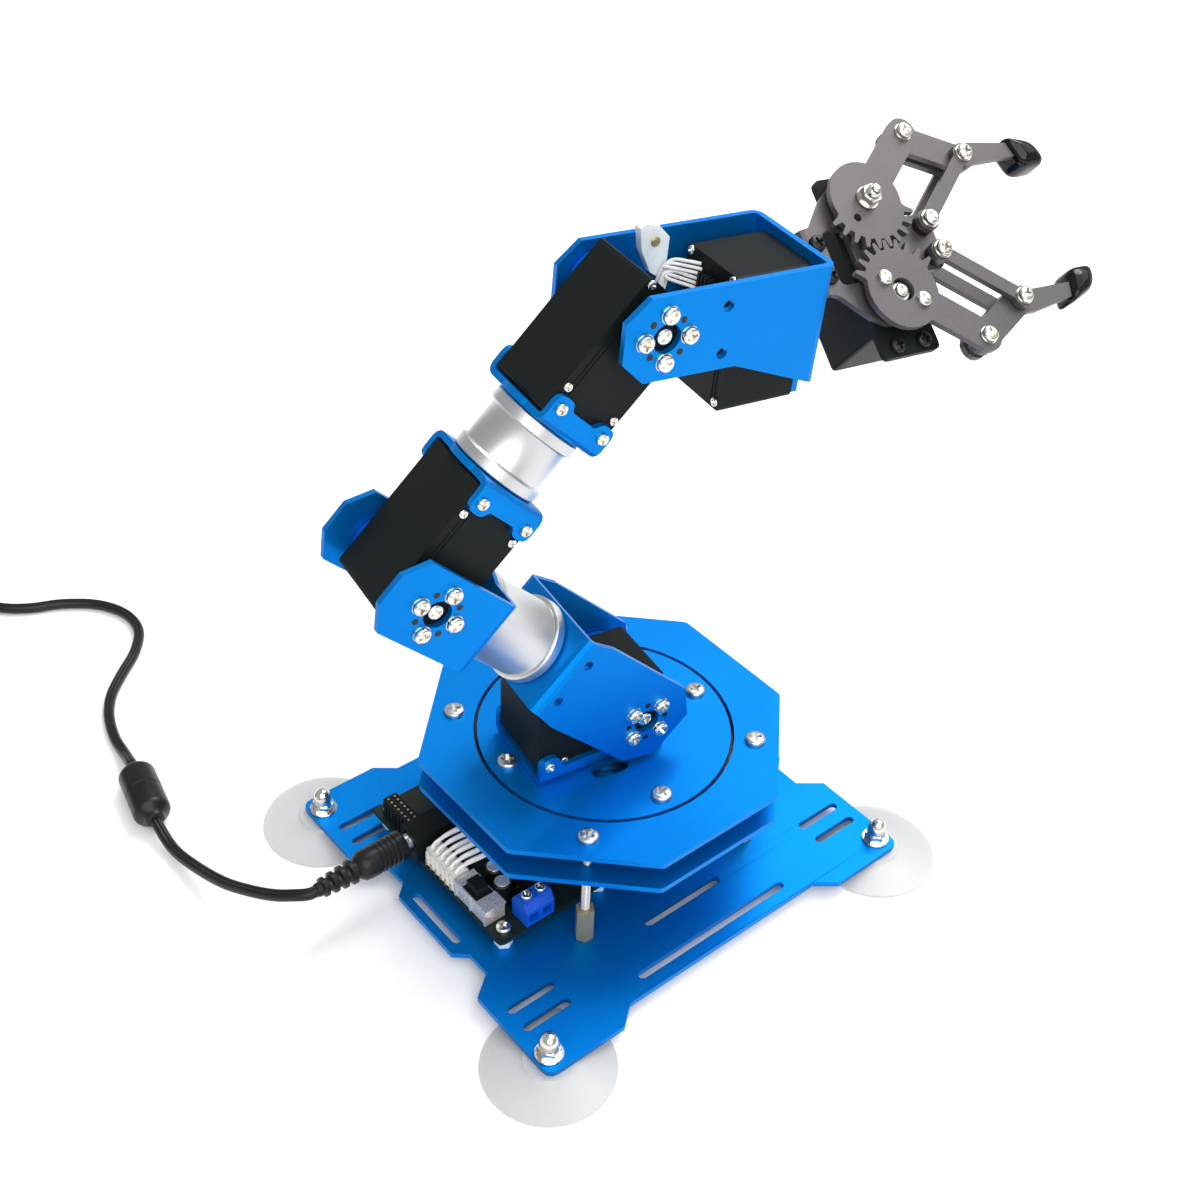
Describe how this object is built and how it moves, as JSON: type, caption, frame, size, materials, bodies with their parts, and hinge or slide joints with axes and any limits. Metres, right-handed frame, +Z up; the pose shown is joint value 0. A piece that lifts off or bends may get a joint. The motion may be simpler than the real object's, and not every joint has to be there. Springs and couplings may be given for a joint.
{
  "type": "desktop robot arm",
  "caption": "Desktop robot arm: turntable base on suction cups, folded blue brackets, servo joints, round link tubes and a geared parallel gripper, with its power lead.",
  "frame": {"origin": "centre of the base plate's underside", "axes": "+Z up, +X the way the arm faces with its turntable squared up, +Y to the arm's left"},
  "size_m": [0.3494, 0.3718, 0.2342],
  "materials": {
    "blue_anodised": "satin anodised blue",
    "servo_black": "satin near-black",
    "turned_aluminium": "fine turned satin silver",
    "steel": "bright zinc-plated steel",
    "gunmetal": "brushed dark grey anodised",
    "black_rubber": "smooth black",
    "clear_silicone": "clear glossy silicone",
    "circuit_board": "satin dark laminate",
    "terminal_blue": "moulded bright blue",
    "white_plastic": "moulded off-white",
    "adapter_black": "fine-textured black"
  },
  "bodies": {
    "base": {"base_plate": "blue_anodised", "suction_cup_front_left": "clear_silicone", "suction_cup_front_right": "clear_silicone", "suction_cup_rear_left": "clear_silicone", "suction_cup_rear_right": "clear_silicone", "lower_deck": "blue_anodised", "upper_deck": "blue_anodised", "deck_pillar_1": "steel", "deck_pillar_2": "steel", "deck_pillar_3": "steel", "deck_pillar_4": "steel", "bearing_outer_race": "steel", "yaw_servo": "servo_black", "control_board": "circuit_board", "power_jack": "servo_black", "servo_ports": "white_plastic", "power_switch": "steel", "screw_terminal": "terminal_blue", "lead_plug": "black_rubber", "lead_near": "black_rubber", "ferrite_bead": "black_rubber", "lead_far": "black_rubber", "lead_coil": "black_rubber", "lead_tail": "black_rubber", "power_adapter": "adapter_black"},
    "turntable": {"turntable": "blue_anodised", "bearing_inner_race": "steel", "yaw_horn": "turned_aluminium", "shoulder_cradle": "blue_anodised", "shoulder_servo": "servo_black"},
    "lower_arm": {"shoulder_horn": "servo_black", "shoulder_idler": "blue_anodised", "shoulder_bracket": "blue_anodised", "lower_arm_tube": "turned_aluminium", "elbow_bracket": "blue_anodised", "elbow_horn": "servo_black", "elbow_idler": "blue_anodised"},
    "forearm": {"elbow_servo": "servo_black", "forearm_lower_cup": "blue_anodised", "forearm_tube": "turned_aluminium", "forearm_upper_cup": "blue_anodised", "wrist_servo": "servo_black"},
    "wrist": {"wrist_bracket": "blue_anodised", "wrist_horn": "servo_black", "wrist_idler": "blue_anodised", "roll_servo": "servo_black"},
    "gripper": {"roll_horn": "servo_black", "gripper_frame": "gunmetal", "gripper_servo": "servo_black", "idler_bolt": "steel", "link_pivot_right": "steel", "link_pivot_left": "steel"},
    "drive_crank": {"drive_crank": "gunmetal"},
    "idler_crank": {"idler_crank": "gunmetal"},
    "link_right": {"finger_link_right": "gunmetal"},
    "link_left": {"finger_link_left": "gunmetal"},
    "finger_right": {"finger_right": "gunmetal", "finger_pad_right": "black_rubber"},
    "finger_left": {"finger_left": "gunmetal", "finger_pad_left": "black_rubber"}
  },
  "joints": [
    {"name": "base_yaw", "type": "hinge", "parent": "base", "child": "turntable", "pos_m": [0, 0, 0.047], "axis": [0, 0, 1], "range_deg": [-80, 100]},
    {"name": "shoulder", "type": "hinge", "parent": "turntable", "child": "lower_arm", "pos_m": [0.00365, -0.00058, 0.0652], "axis": [-0.1564, -0.9877, 0], "range_deg": [-40, 40]},
    {"name": "elbow", "type": "hinge", "parent": "lower_arm", "child": "forearm", "pos_m": [-0.06688, 0.01059, 0.13662], "axis": [-0.1564, -0.9877, 0], "range_deg": [-15, 85]},
    {"name": "wrist_pitch", "type": "hinge", "parent": "forearm", "child": "wrist", "pos_m": [0.00103, -0.00016, 0.20419], "axis": [-0.1564, -0.9877, 0], "range_deg": [-30, 90]},
    {"name": "wrist_roll", "type": "hinge", "parent": "wrist", "child": "gripper", "pos_m": [0.05622, -0.0089, 0.20047], "axis": [0.9855, -0.1561, -0.0663], "range_deg": [-39, 141]},
    {"name": "jaw_drive", "type": "hinge", "parent": "gripper", "child": "drive_crank", "pos_m": [0.07812, -0.03049, 0.19831], "axis": [-0.0433, -0.6095, 0.7916], "range_deg": [-25, 35]},
    {"name": "jaw_idler", "type": "hinge", "parent": "gripper", "child": "idler_crank", "pos_m": [0.08288, -0.00795, 0.21593], "axis": [-0.0433, -0.6095, 0.7916], "range_deg": [-35, 25]},
    {"name": "jaw_link_right", "type": "hinge", "parent": "gripper", "child": "link_right", "pos_m": [0.0985, -0.02331, 0.19927], "axis": [-0.0433, -0.6095, 0.7916], "range_deg": [-25, 35]},
    {"name": "jaw_link_left", "type": "hinge", "parent": "gripper", "child": "link_left", "pos_m": [0.10014, -0.01554, 0.20534], "axis": [-0.0433, -0.6095, 0.7916], "range_deg": [-35, 25]},
    {"name": "finger_right_pivot", "type": "hinge", "parent": "drive_crank", "child": "finger_right", "pos_m": [0.09748, -0.04602, 0.18174], "axis": [-0.0433, -0.6095, 0.7916], "range_deg": [-35, 25]},
    {"name": "finger_left_pivot", "type": "hinge", "parent": "idler_crank", "child": "finger_left", "pos_m": [0.10845, 0.006, 0.22239], "axis": [-0.0433, -0.6095, 0.7916], "range_deg": [-25, 35]}
  ],
  "couplings": [
    {"joint": "jaw_idler", "follows": "jaw_drive", "ratio": -1},
    {"joint": "jaw_link_right", "follows": "jaw_drive", "ratio": 1},
    {"joint": "jaw_link_left", "follows": "jaw_drive", "ratio": -1},
    {"joint": "finger_right_pivot", "follows": "jaw_drive", "ratio": -1},
    {"joint": "finger_left_pivot", "follows": "jaw_drive", "ratio": 1}
  ]
}
